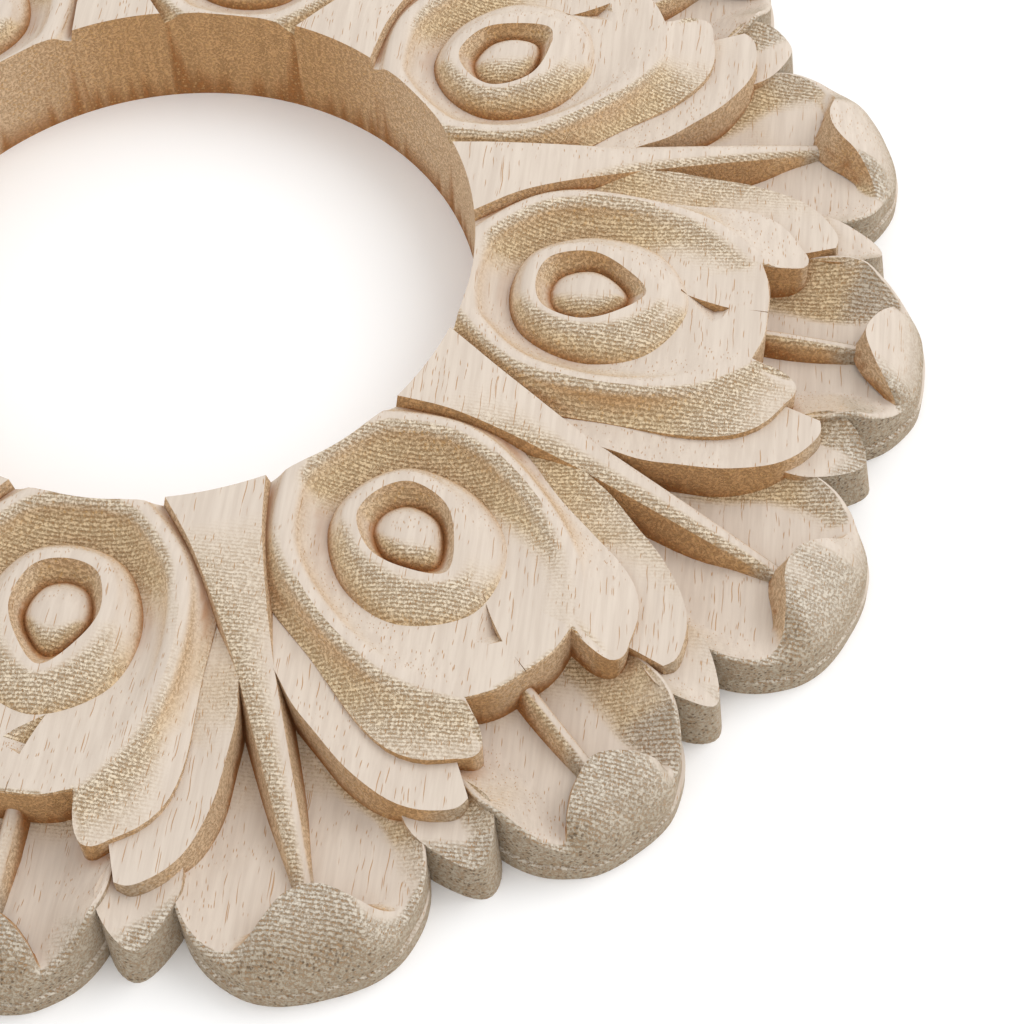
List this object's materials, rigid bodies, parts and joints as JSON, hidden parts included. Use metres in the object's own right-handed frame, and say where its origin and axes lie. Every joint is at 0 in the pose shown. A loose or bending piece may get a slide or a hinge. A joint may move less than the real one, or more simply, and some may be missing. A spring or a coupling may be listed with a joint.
{
  "type": "carved ceiling medallion ring",
  "caption": "Flat-backed ring of pale carved hardwood with eye motifs, ribs and a rim of curled leaves round a plain bore.",
  "frame": {"origin": "centre of the bore on the flat back face", "axes": "+Z out of the carved face along the bore; +X along the axis of one eye motif; +Y along the axis of another"},
  "size_m": [0.1992, 0.1992, 0.0161],
  "materials": {
    "raw_hardwood": "unfinished rubberwood, relief cut by machine, flats sanded, slopes left fuzzy"
  },
  "bodies": {
    "root": {"carved_ring": "raw_hardwood"}
  },
  "joints": []
}
